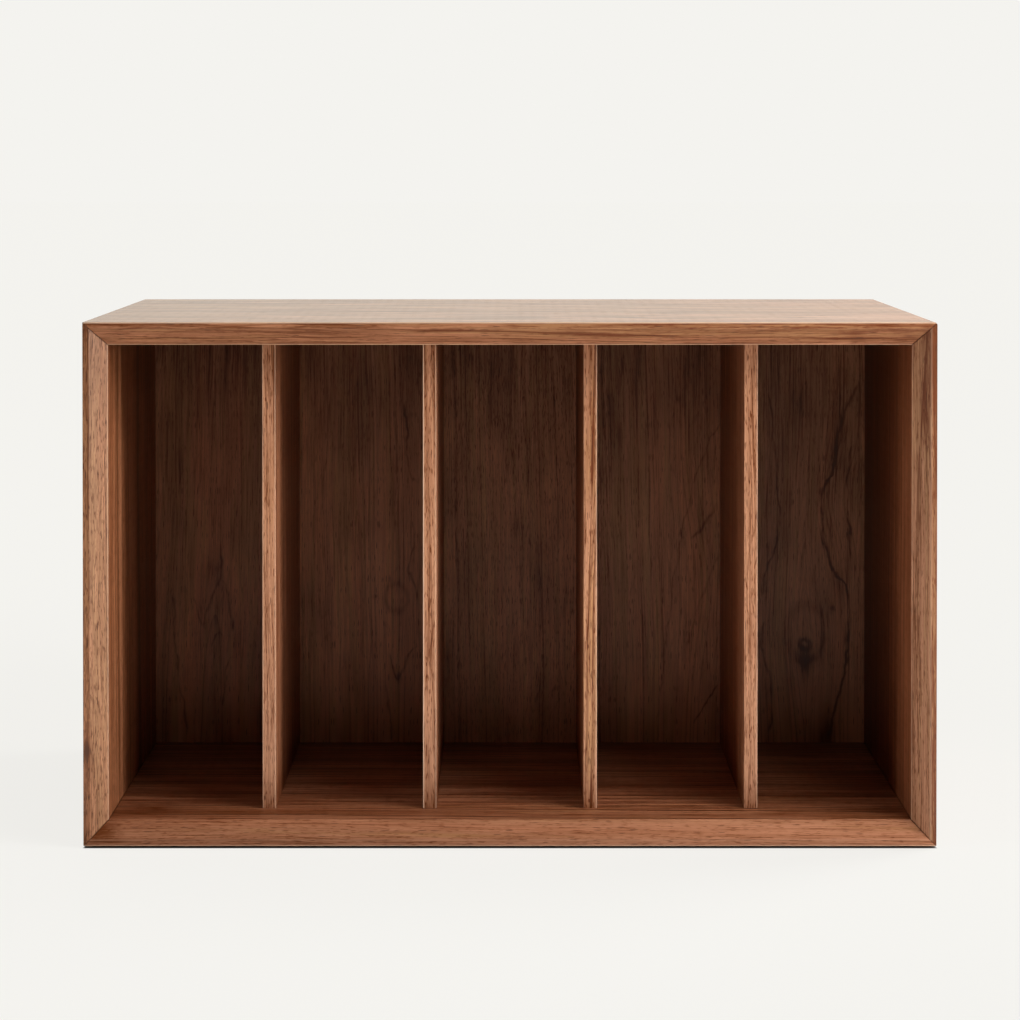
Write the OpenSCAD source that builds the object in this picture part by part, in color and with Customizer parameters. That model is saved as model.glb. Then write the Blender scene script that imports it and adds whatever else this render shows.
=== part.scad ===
// Record storage stand: a case of four mitred boards with upright dividers and a recessed back panel.
// The origin is at the middle of the footprint, on the surface under the pads.
// X runs along the width, Y from the open front to the rear, and Z up. Left and right are seen from the front.

/* [Case] */
// Outside width of the case
case_w = 620; // [500:1:1000]
// Outside height of the case, without its pads
case_h = 381; // [360:1:460]
// Depth of the case from its front edge to its rear edge
case_d = 400; // [370:1:460]
// Thickness of the top, bottom and side boards
board_t = 17; // [15:0.5:24]
// Width of the flat strip along the outer edge of the front
front_flat_w = 4.5; // [2:0.5:8]
// How far back the bevel inside that strip runs
bevel_d = 12.5; // [5:0.5:20]

/* [Mitre splines] */
// Thickness of the loose tongue inside each mitred corner
spline_t = 4; // [3:0.5:5]
// Width of the loose tongue, half of it in each board
spline_w = 12; // [8:0.5:13]
// Clearance round the loose tongue
spline_gap = 0.1; // [0.05:0.05:0.3]
// Wood left between the back panel's groove and the loose tongue
spline_wall = 1; // [0.8:0.1:1.5]
// Distance from the front of the case to the loose tongue
spline_front_stop = 30; // [25:1:60]
// Distance from the rear of the case to the loose tongue
spline_rear_stop = 15; // [10:1:40]

/* [Dividers] */
// Number of dividers, evenly spaced
divider_count = 4; // [1:1:6]
// Thickness of a divider
divider_t = 10; // [8:0.5:14]
// Distance from the front of the case to the dividers' front edges
divider_setback = 53; // [35:1:120]
// Depth of the housings in the top and bottom boards
housing_d = 5; // [3:0.5:7]
// Clearance on each side of a divider in its housing
housing_gap = 0.1; // [0.05:0.05:0.3]
// Distance from a divider's front edge to the front of its tongues
tongue_setback = 12; // [9:1:40]

/* [Back panel] */
// Distance from the front of the case to the back panel
panel_setback = 326; // [315:1:340]
// Thickness of the back panel
panel_t = 8; // [6:0.5:12]
// Depth of the groove for the back panel
groove_d = 5; // [3:0.5:6]
// Clearance on each face of the back panel in its groove
groove_gap = 0.1; // [0.05:0.05:0.3]
// Room past the edges of the back panel for the wood to swell
swell_room = 0.5; // [0.2:0.1:0.8]

/* [Screws] */
// Number of screws through the back panel into each divider
screw_rows = 3; // [2:1:5]
// Diameter of a screw
screw_d = 3.5; // [3:0.5:4]
// Length of a screw with its head
screw_l = 35; // [25:1:50]
// Diameter of a screw's countersunk head
screw_head_d = 7; // [6:0.1:8]
// Height of the countersunk head
screw_head_h = 2.2; // [1.8:0.1:3]
// Length of the screw's point
screw_point_l = 4; // [2:0.5:6]
// Clearance round a screw
screw_gap = 0.1; // [0.05:0.05:0.2]
// Distance from the outermost screws to the top and bottom boards
screw_margin = 40; // [20:1:80]
// Length of each slot of the cross recess
recess_l = 3.8; // [3:0.1:4.5]
// Width of each slot of the cross recess
recess_w = 0.9; // [0.6:0.1:1.2]
// Depth of the cross recess
recess_d = 1.4; // [1:0.1:1.6]

/* [Pads] */
// Thickness of the pads under the case
pad_t = 1.5; // [1:0.5:5]
// Diameter of a pad
pad_d = 26; // [15:1:40]
// Distance from the outside of the case to a pad's middle
pad_inset = 32; // [25:1:60]

/* [Hidden] */
$fn = 64;
// How far a cutter runs past the face that it opens
over = 1;
front_y = -case_d / 2;
rear_y = case_d / 2;
floor_z = pad_t + board_t;
ceiling_z = pad_t + case_h - board_t;
case_mid_z = pad_t + case_h / 2;
inner_w = case_w - 2 * board_t;
inner_h = ceiling_z - floor_z;

divider_pitch = (inner_w + divider_t) / (divider_count + 1);
divider_front_y = front_y + divider_setback;
tongue_front_y = divider_front_y + tongue_setback;
tongue_l = housing_d - swell_room;
panel_front_y = front_y + panel_setback;
panel_rear_y = panel_front_y + panel_t;

// The loose tongue's middle lies on the mitre, outside the corner of the groove.
spline_from_inside = groove_d * sqrt(2) + spline_wall + spline_t / 2;
spline_from_outside = board_t - spline_from_inside / sqrt(2);
spline_l = case_d - spline_front_stop - spline_rear_stop;
spline_mid_y = (spline_front_stop - spline_rear_stop) / 2;

screw_step_z = (inner_h - 2 * screw_margin) / (screw_rows - 1);

WALNUT = "#8f5d40";
SPLINE_WOOD = "#b98a62";
SCREW_STEEL = "#9a9a98";
FELT = "#2c2826";

LEFT = -1;
RIGHT = 1;
FRONT = -1;
REAR = 1;
BOTTOM = -1;
TOP = 1;

SPLINES = [
    ["top_left_spline", LEFT, TOP],
    ["top_right_spline", RIGHT, TOP],
    ["bottom_left_spline", LEFT, BOTTOM],
    ["bottom_right_spline", RIGHT, BOTTOM]
];
PADS = [
    ["front_left_pad", LEFT, FRONT],
    ["front_right_pad", RIGHT, FRONT],
    ["rear_left_pad", LEFT, REAR],
    ["rear_right_pad", RIGHT, REAR]
];
DIVIDERS = [for (i = [1 : divider_count]) str("divider_", i)];

// Middle of a divider, counted from 1 at the left
function divider_x(i) = -inner_w / 2 - divider_t / 2 + i * divider_pitch;

// Outline of a board across its length: Y along the case's depth, then the height above the outer face
module board_section() polygon([
    [front_y, 0],
    [rear_y, 0],
    [rear_y, board_t],
    [front_y + bevel_d, board_t],
    [front_y, front_flat_w]
]);

// A board that lies on its outer face, with both ends cut at 45 degrees
module mitred_board(length) intersection() {
    rotate([90, 0, 90]) linear_extrude(length, center = true) board_section();
    rotate([90, 0, 0]) linear_extrude(case_d + 2 * over, center = true) polygon([
        [-length / 2 - over, -over],
        [length / 2 + over, -over],
        [length / 2 - board_t - over, board_t + over],
        [-length / 2 + board_t + over, board_t + over]
    ]);
}

// A case board turned about the middle of the case, with the groove and the slots cut in it
module case_board(turn, length, reach) color(WALNUT) difference() {
    translate([0, 0, case_mid_z]) rotate([0, turn, 0]) translate([0, 0, -reach]) mitred_board(length);
    panel_groove();
    for (s = SPLINES) spline_block(s[1], s[2], spline_gap);
}

// The groove round the inside of the case, which the back panel sits in
module panel_groove() translate([0, (panel_front_y + panel_rear_y) / 2, case_mid_z])
    cube([inner_w + 2 * groove_d, panel_t + 2 * groove_gap, inner_h + 2 * groove_d], center = true);

// The housings run from the groove towards the front, where the cutter leaves a round end.
module housings() for (i = [1 : divider_count])
    translate([divider_x(i), 0, floor_z - housing_d]) linear_extrude(inner_h + 2 * housing_d) {
        housing_w = divider_t + 2 * housing_gap;
        translate([-housing_w / 2, tongue_front_y - housing_gap])
            square([housing_w, panel_front_y - tongue_front_y + 2 * housing_gap]);
        translate([0, tongue_front_y - housing_gap]) circle(d = housing_w);
    }

// A loose tongue across the mitre of one corner, or with a gap the slot for it
module spline_block(side, level, gap) translate([
    side * (case_w / 2 - spline_from_outside),
    spline_mid_y,
    case_mid_z + level * (case_h / 2 - spline_from_outside)
])
    rotate([0, 45 * side * level, 0])
        cube([spline_w + 2 * gap, spline_l + 2 * gap, spline_t + 2 * gap], center = true);

module top_board() difference() {
    case_board(180, case_w, case_h / 2);
    housings();
}

module bottom_board() difference() {
    case_board(0, case_w, case_h / 2);
    housings();
}

module left_side() case_board(90, case_h, case_w / 2);

module right_side() case_board(-90, case_h, case_w / 2);

module spline(side, level) color(SPLINE_WOOD) spline_block(side, level, 0);

// Full height at its front edge, with a tongue at the top and bottom behind that
module divider(i) color(WALNUT) difference() {
    translate([divider_x(i) - divider_t / 2, 0, 0]) {
        translate([0, divider_front_y, floor_z])
            cube([divider_t, panel_front_y - divider_front_y, inner_h]);
        translate([0, tongue_front_y, floor_z - tongue_l])
            cube([divider_t, panel_front_y - tongue_front_y, inner_h + 2 * tongue_l]);
    }
    screw_holes(i);
}

module back_panel() color(WALNUT) difference() {
    translate([0, (panel_front_y + panel_rear_y) / 2, case_mid_z]) cube([
        inner_w + 2 * (groove_d - swell_room),
        panel_t,
        inner_h + 2 * (groove_d - swell_room)
    ], center = true);
    for (i = [1 : divider_count]) screw_holes(i);
}

// Puts its children at the screws of one divider, pointing forwards from the back panel's rear face
module at_screws(i) for (row = [0 : screw_rows - 1])
    translate([divider_x(i), panel_rear_y, floor_z + screw_margin + row * screw_step_z])
        rotate([90, 0, 0]) children();

// A countersunk screw that points along Z, made wider and longer by a gap
module screw_body(gap) {
    cylinder(h = screw_head_h, d1 = screw_head_d + 2 * gap, d2 = screw_d + 2 * gap);
    cylinder(h = screw_l - screw_point_l + gap, d = screw_d + 2 * gap);
    translate([0, 0, screw_l - screw_point_l + gap])
        cylinder(h = screw_point_l, d1 = screw_d + 2 * gap, d2 = 2 * screw_gap + 2 * gap);
}

module screw_holes(i) at_screws(i) {
    screw_body(screw_gap);
    translate([0, 0, -over]) cylinder(h = over, d = screw_head_d + 2 * screw_gap);
}

module cross_recess() for (turn = [0, 90])
    rotate([0, 0, turn]) translate([-recess_l / 2, -recess_w / 2, -over])
        cube([recess_l, recess_w, recess_d + over]);

module back_screws() color(SCREW_STEEL) for (i = [1 : divider_count]) at_screws(i) difference() {
    screw_body(0);
    cross_recess();
}

module pad(side, end) color(FELT)
    translate([side * (case_w / 2 - pad_inset), end * (case_d / 2 - pad_inset), 0])
        cylinder(h = pad_t, d = pad_d);

top_board();
bottom_board();
left_side();
right_side();
for (s = SPLINES) spline(s[1], s[2]);
for (i = [1 : divider_count]) divider(i);
back_panel();
back_screws();
for (p = PADS) pad(p[1], p[2]);
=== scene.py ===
"""The looks of a record storage stand: a mitred walnut case with dividers, in the frame of its CAD model.

Every mesh is in metres and in the place that the frame gives it. X runs along the width, Y from the open front to
the rear, and Z up. Left and right are seen from the front.
"""

import math

import bmesh
import bpy
import numpy as np
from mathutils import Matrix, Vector


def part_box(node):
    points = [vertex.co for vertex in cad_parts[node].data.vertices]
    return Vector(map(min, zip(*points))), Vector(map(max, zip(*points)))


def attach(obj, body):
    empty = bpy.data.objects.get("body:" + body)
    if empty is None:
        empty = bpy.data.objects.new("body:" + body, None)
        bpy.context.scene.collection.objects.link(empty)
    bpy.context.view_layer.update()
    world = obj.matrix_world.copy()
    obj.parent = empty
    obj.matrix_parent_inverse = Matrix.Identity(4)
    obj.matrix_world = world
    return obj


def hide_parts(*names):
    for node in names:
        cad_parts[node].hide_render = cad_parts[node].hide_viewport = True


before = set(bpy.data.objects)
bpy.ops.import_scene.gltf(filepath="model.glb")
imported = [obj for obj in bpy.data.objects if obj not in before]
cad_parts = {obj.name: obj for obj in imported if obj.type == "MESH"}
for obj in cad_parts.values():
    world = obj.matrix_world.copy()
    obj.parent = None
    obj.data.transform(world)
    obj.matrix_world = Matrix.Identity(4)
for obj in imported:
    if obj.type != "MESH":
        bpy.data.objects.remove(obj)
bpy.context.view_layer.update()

bl_info = {
    "name": "Record Storage Stand",
    "version": (1, 0, 0),
    "blender": (4, 5, 0),
    "location": "3D View > Sidebar > Record Stand",
    "description": "Builds a walnut record stand round its CAD frame, with a studio stage",
    "category": "Add Mesh",
}

BODY = "root"
LEFT, RIGHT = -1, 1
BOTTOM, TOP = -1, 1

# Where the CAD pieces lie, read from the frame.
CASE_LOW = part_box("bottom_board")[0]
CASE_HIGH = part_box("top_board")[1]
CASE_CENTRE, CASE_HALF = (CASE_LOW + CASE_HIGH) / 2, (CASE_HIGH - CASE_LOW) / 2
FLOOR_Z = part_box("bottom_board")[1].z
CEILING_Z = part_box("top_board")[0].z
BOARD_T = FLOOR_Z - CASE_LOW.z
INNER_X = CASE_HIGH.x - BOARD_T
PANEL_LOW, PANEL_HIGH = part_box("back_panel")
DIVIDER_NAMES = sorted(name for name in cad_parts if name.startswith("divider_"))
SPLINE_NAMES = sorted(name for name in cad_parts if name.endswith("_spline"))
PAD_NAMES = sorted(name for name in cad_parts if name.endswith("_pad"))

CUT_PAST = 0.001  # How far a cutter reaches past the wood
SCREW_ROWS = 3
ARC_POINTS = 9  # On a rounded edge or corner
HOUSING_POINTS = 17  # On the round end of a housing
PAD_STEPS = 64
SHARP_ANGLE = math.radians(35)


def length(name, description, default):
    """A size property in metres."""
    return bpy.props.FloatProperty(
        name=name, description=description, default=default, min=0.0, precision=5, unit="LENGTH"
    )


def colour(name, description, default):
    """A linear RGBA colour property."""
    return bpy.props.FloatVectorProperty(
        name=name, description=description, default=default, min=0.0, max=1.0, size=4, subtype="COLOR"
    )


def fraction(name, description, default):
    """A property from 0 to 1."""
    return bpy.props.FloatProperty(name=name, description=description, default=default, min=0.0, max=1.0)


class StandSizes(bpy.types.PropertyGroup):
    """Sizes that the boxes of the CAD pieces don't give."""

    front_flat: length("Front flat", "Width of the flat along the outer edge of the front", 0.0045)
    bevel_depth: length("Bevel depth", "How far back the bevel inside that flat runs", 0.0125)
    arris: length("Arris radius", "Radius of the softened edges of the boards", 0.0006)
    divider_arris: length("Divider arris", "Radius of the softened edges of the dividers", 0.0004)
    top_corner: length("Top corner radius", "Radius of the case's two long top corners", 0.0025)
    bottom_corner: length("Bottom corner radius", "Radius of the case's two long bottom corners", 0.0009)
    seam: length("Seam radius", "Radius of the edges that meet in a mitre", 0.0004)
    fit: length("Fit", "Clearance in grooves, housings, slots and screw holes", 0.0001)
    swell_room: length("Swell room", "Room past the edges of the panel and the tongues", 0.0005)
    tongue_setback: length("Tongue setback", "From a divider's front edge to its tongues", 0.012)
    spline_thickness: length("Spline thickness", "Thickness of the tongue across a mitre", 0.004)
    screw_margin: length("Screw margin", "From the floor and ceiling to the nearest screw", 0.04)
    screw_radius: length("Screw radius", "Radius of a screw's shank", 0.00175)
    screw_length: length("Screw length", "Length of a screw", 0.035)
    point_length: length("Point length", "Length of a screw's point", 0.004)
    head_radius: length("Head radius", "Radius of a countersunk head", 0.0035)
    head_height: length("Head height", "Height of a countersunk head", 0.0022)
    pad_edge: length("Pad edge", "Radius of the edge of a pad", 0.0005)


class StandFinish(bpy.types.PropertyGroup):
    """Colours and gloss of the finishes."""

    light_wood: colour("Light wood", "Palest walnut between the rings", (0.58, 0.25, 0.13, 1.0))
    dark_wood: colour("Dark wood", "Darkest walnut in the late wood", (0.21, 0.07, 0.026, 1.0))
    golden_wood: colour("Golden wood", "Yellower streaks", (0.53, 0.265, 0.12, 1.0))
    pore: colour("Pore", "Inside of an open pore", (0.09, 0.03, 0.012, 1.0))
    pale_wood: colour("Spline wood", "Pale wood of the mitre splines", (0.6, 0.42, 0.25, 1.0))
    lacquer: fraction("Lacquer roughness", "Roughness of the satin lacquer", 0.4)
    felt: colour("Felt", "Pads under the case", (0.03, 0.026, 0.023, 1.0))
    steel: colour("Steel", "Plated screws", (0.6, 0.58, 0.52, 1.0))


class StudioSettings(bpy.types.PropertyGroup):
    """Camera, floor and light."""

    camera_place: bpy.props.FloatVectorProperty(
        name="Camera", description="Place of the lens", default=(0.00044, -2.52918, 0.49642), unit="LENGTH"
    )
    camera_dip: bpy.props.FloatProperty(
        name="Dip", description="How far the camera looks down", default=math.radians(0.961), subtype="ANGLE"
    )
    lens: bpy.props.FloatProperty(name="Lens", description="Focal length in millimetres", default=113.52)
    shift: bpy.props.FloatVectorProperty(
        name="Shift", description="Lens shift across and up", default=(-0.00051, -0.28532), size=2
    )
    paper: colour("Paper", "Floor and backdrop as the camera sees them", (0.905, 0.896, 0.863, 1.0))
    paper_shade: fraction("Shade", "Share of the floor's brightness that the lights give", 0.14)
    back_glow: bpy.props.FloatProperty(
        name="Back glow", description="Brightness of the room behind the stand", default=1.62
    )


# ---------------------------------------------------------------- surfaces


def unit(vectors):
    """Rows scaled to length one."""
    return vectors / np.linalg.norm(vectors, axis=-1, keepdims=True)


def rounded_outline(corners, radii, steps=4):
    """Points and outward normals of a closed outline, anticlockwise, whose corners are arcs.

    At a corner where the direction turns by t, the arc of radius r starts r*tan(t/2) before the corner, and its
    point at the share k of the turn is the arc's middle plus r times the outward normal turned by k*t.
    """
    corners = np.asarray(corners, float)
    radii = np.broadcast_to(radii, len(corners))[:, None]
    arriving = unit(corners - np.roll(corners, 1, axis=0))
    leaving = unit(np.roll(corners, -1, axis=0) - corners)
    cross = arriving[:, 0] * leaving[:, 1] - arriving[:, 1] * leaving[:, 0]
    turn = np.arctan2(cross, (arriving * leaving).sum(axis=1))[:, None]
    side = np.sign(turn)
    start = corners - arriving * radii * np.tan(np.abs(turn) / 2)
    outward = np.stack([arriving[:, 1], -arriving[:, 0]], axis=1)
    middle = start - outward * side * radii
    angle = turn * np.linspace(0, 1, steps + 1)
    cos, sin = np.cos(angle)[..., None], np.sin(angle)[..., None]
    x, y = outward[:, None, 0:1], outward[:, None, 1:2]
    normals = np.concatenate([x * cos - y * sin, x * sin + y * cos], axis=2)
    points = middle[:, None] + normals * (side * radii)[:, None]
    return points.reshape(-1, 2), normals.reshape(-1, 2)


def carried_solid(outline, normals, low, high, rim, slope=0.0, steps=3):
    """A closed outline carried along a third axis from low to high, with both rims rounded.

    The ring at the angle a of a rim lies rim*(1 - sin a) inside the outline and rim*(1 - cos a) in from the end. Both
    ends slope in by slope times the outline's second coordinate, so the slope of a mitre is 1.

    Returns rings of points (outline u, outline v, place along the axis), from the low end to the high one.
    """
    angle = np.linspace(0, math.pi / 2, steps + 1) if rim else np.array([math.pi / 2])
    inset = rim * (1 - np.sin(angle))[:, None, None]
    depth = rim * (1 - np.cos(angle))[:, None]
    rings = outline[None] - normals[None] * inset
    sloped = slope * rings[..., 1]
    first = np.concatenate([rings, (low + sloped + depth)[..., None]], axis=2)
    last = np.concatenate([rings, (high - sloped - depth)[..., None]], axis=2)
    return np.concatenate([first, last[::-1]])


def closed_faces(ring_count, ring_length):
    """Quads round every pair of rings, and one face on each end ring."""
    ring, step = np.meshgrid(np.arange(ring_count - 1), np.arange(ring_length), indexing="ij")
    after = (step + 1) % ring_length
    here, there = ring * ring_length, (ring + 1) * ring_length
    quads = np.stack([here + step, here + after, there + after, there + step], axis=2).reshape(-1, 4)
    low_cap = np.arange(ring_length)[::-1]
    high_cap = np.arange(ring_length) + (ring_count - 1) * ring_length
    return [*quads.tolist(), low_cap.tolist(), high_cap.tolist()]


def solid_mesh(name, *ring_sets):
    """One mesh of closed ring sets, each an array of rings by points by XYZ."""
    points, faces, count = [], [], 0
    for rings in ring_sets:
        faces += [[corner + count for corner in face] for face in closed_faces(*rings.shape[:2])]
        points.append(rings.reshape(-1, 3))
        count += len(points[-1])
    mesh = bpy.data.meshes.new(name)
    mesh.from_pydata(np.concatenate(points).tolist(), [], faces)
    mesh.validate()
    return mesh


def piece_object(name, mesh):
    """A new object for the mesh, at the origin."""
    piece = bpy.data.objects.new(name, mesh)
    bpy.context.scene.collection.objects.link(piece)
    return piece


def solid_piece(node, ending, rings):
    """A new object for a node: the solid of its rings, with its faces turned outwards."""
    mesh = solid_mesh(node, rings)
    work = bmesh.new()
    work.from_mesh(mesh)
    bmesh.ops.recalc_face_normals(work, faces=work.faces)
    work.to_mesh(mesh)
    work.free()
    return piece_object(node + ending, mesh)


def cut(piece, cutter_rings):
    """Takes closed cutters out of a piece, for good."""
    cutter = piece_object("cutter", solid_mesh("cutter", *cutter_rings))
    hole = piece.modifiers.new("cut", "BOOLEAN")
    hole.operation = "DIFFERENCE"
    hole.solver = "EXACT"
    hole.object = cutter
    whole = piece.data
    piece.data = bpy.data.meshes.new_from_object(piece.evaluated_get(bpy.context.evaluated_depsgraph_get()))
    piece.data.name = whole.name
    piece.modifiers.clear()
    bpy.data.meshes.remove(whole)
    spent = cutter.data
    bpy.data.objects.remove(cutter)
    bpy.data.meshes.remove(spent)


def finish_piece(piece, material, node):
    """Gives a piece smooth shading that keeps its flat faces flat, a material, and the place of its CAD node."""
    piece.data.shade_smooth()
    piece.data.set_sharp_from_angle(angle=SHARP_ANGLE)
    flatten = piece.modifiers.new("flat faces", "WEIGHTED_NORMAL")
    flatten.keep_sharp = True
    piece.data.materials.clear()
    piece.data.materials.append(material)
    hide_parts(node)
    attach(piece, BODY)


def board_rings(sizes, edge, across):
    """Rings of one mitred case board.

    The outline is the board's section: Y, then the height above the outer face. It is carried along the board, and
    each end slopes in as much as the height, which is the mitre.
    """
    front, rear = CASE_LOW.y, CASE_HIGH.y
    groove_low, groove_high = PANEL_LOW.y - sizes.fit, PANEL_HIGH.y + sizes.fit
    groove_floor = BOARD_T - (PANEL_HIGH.x - INNER_X + sizes.swell_room)
    soft, crisp = sizes.arris, sizes.seam
    corners = [
        (front, 0), (rear, 0), (rear, BOARD_T),
        (groove_high, BOARD_T), (groove_high, groove_floor), (groove_low, groove_floor), (groove_low, BOARD_T),
        (front + sizes.bevel_depth, BOARD_T), (front, sizes.front_flat),
    ]
    outline, normals = rounded_outline(corners, [soft] * 3 + [crisp] * 4 + [soft] * 2)
    half = (CASE_HIGH.x - CASE_LOW.x) / 2 if across else (CASE_HIGH.z - CASE_LOW.z) / 2
    rings = carried_solid(outline, normals, -half, half, sizes.seam, slope=1.0)
    y, height, along = np.moveaxis(rings, 2, 0)
    middle_z = (CASE_LOW.z + CASE_HIGH.z) / 2
    if across:
        outer = CASE_LOW.z if edge == BOTTOM else CASE_HIGH.z
        return np.stack([along, y, outer - edge * height], axis=2)
    outer = CASE_LOW.x if edge == LEFT else CASE_HIGH.x
    return np.stack([outer - edge * height, y, along + middle_z], axis=2)


def turned_solid(profile, centre, steps=32):
    """Rings of a solid turned about an axis along Y: each (place along Y, radius) of the profile gives a circle."""
    angle = np.linspace(0, 2 * math.pi, steps, endpoint=False)
    along, radius = np.asarray(profile, float).T
    x = centre[0] + radius[:, None] * np.cos(angle)
    z = centre[1] + radius[:, None] * np.sin(angle)
    return np.stack([x, np.broadcast_to(along[:, None], x.shape), z], axis=2)


def screw_holes(sizes, node):
    """Rings of the holes for one divider's screws, each from behind the panel's rear face to the screw's point."""
    low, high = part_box(node)
    rear, fit = PANEL_HIGH.y, sizes.fit
    shank_end = rear - sizes.screw_length + sizes.point_length - fit
    profile = [
        (rear + CUT_PAST, sizes.head_radius + fit),
        (rear, sizes.head_radius + fit),
        (rear - sizes.head_height, sizes.screw_radius + fit),
        (shank_end, sizes.screw_radius + fit),
        (shank_end - sizes.point_length, 2 * fit),
    ]
    rows = np.linspace(FLOOR_Z + sizes.screw_margin, CEILING_Z - sizes.screw_margin, SCREW_ROWS)
    return [turned_solid(profile, ((low.x + high.x) / 2, z)) for z in rows]


def housing(sizes, node, edge):
    """Rings of the stopped housing that one divider's tongue sits in, with a round front end."""
    low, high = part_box(node)
    x, radius = (low.x + high.x) / 2, (high.x - low.x) / 2 + sizes.fit
    front = low.y + sizes.tongue_setback - sizes.fit
    angle = np.linspace(math.pi, 2 * math.pi, HOUSING_POINTS)
    outline = np.stack([x + radius * np.cos(angle), front + radius * np.sin(angle)], axis=1)
    rear = PANEL_LOW.y + sizes.fit
    outline = np.concatenate([outline, [(x + radius, rear), (x - radius, rear)]])
    depth = FLOOR_Z - low.z + sizes.swell_room
    levels = (FLOOR_Z - depth, FLOOR_Z + depth) if edge == BOTTOM else (CEILING_Z - depth, CEILING_Z + depth)
    return np.stack([np.column_stack([outline, np.full(len(outline), z)]) for z in levels])


def spline_slot(sizes, node):
    """Rings of the slot for one mitre spline, square to the mitre."""
    low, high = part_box(node)
    centre_x, centre_z = (low.x + high.x) / 2, (low.z + high.z) / 2
    across = (high.x - low.x) * math.sqrt(2) - sizes.spline_thickness
    size = (across + 2 * sizes.fit, sizes.spline_thickness + 2 * sizes.fit)
    corner = np.array([(-1, -1), (1, -1), (1, 1), (-1, 1)]) / 2 * size
    up = 1 if (centre_x < 0) == (centre_z < (FLOOR_Z + CEILING_Z) / 2) else -1
    x = centre_x + (corner[:, 0] + up * corner[:, 1]) / math.sqrt(2)
    z = centre_z + (corner[:, 1] - up * corner[:, 0]) / math.sqrt(2)
    ends = (low.y - sizes.fit, high.y + sizes.fit)
    return np.stack([np.column_stack([x, np.full(4, y), z]) for y in ends])


def corner_rounder(radius, side, edge):
    """Rings of a cutter along one long outer corner of the case, whose inner side is a quarter circle."""
    x, z = max(CASE_HIGH.x, -CASE_LOW.x), CASE_HIGH.z if edge == TOP else CASE_LOW.z
    angle = np.linspace(0, math.pi / 2, ARC_POINTS)
    in_x = np.concatenate([x - radius + radius * np.cos(angle), [x - radius, x + CUT_PAST, x + CUT_PAST]])
    in_z = np.concatenate([radius * np.sin(angle) - radius, [CUT_PAST, CUT_PAST, -radius]])
    ends = (CASE_LOW.y - CUT_PAST, CASE_HIGH.y + CUT_PAST)
    return np.stack([np.column_stack([side * in_x, np.full(len(in_x), y), z + edge * in_z]) for y in ends])


# ---------------------------------------------------------------- materials


ORIGIN = (0.0, 0.0, 0.0)
MIDDLE = (0.5, 0.5, 0.5)
WHITE = [1.0, 1.0, 1.0, 1.0]


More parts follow.
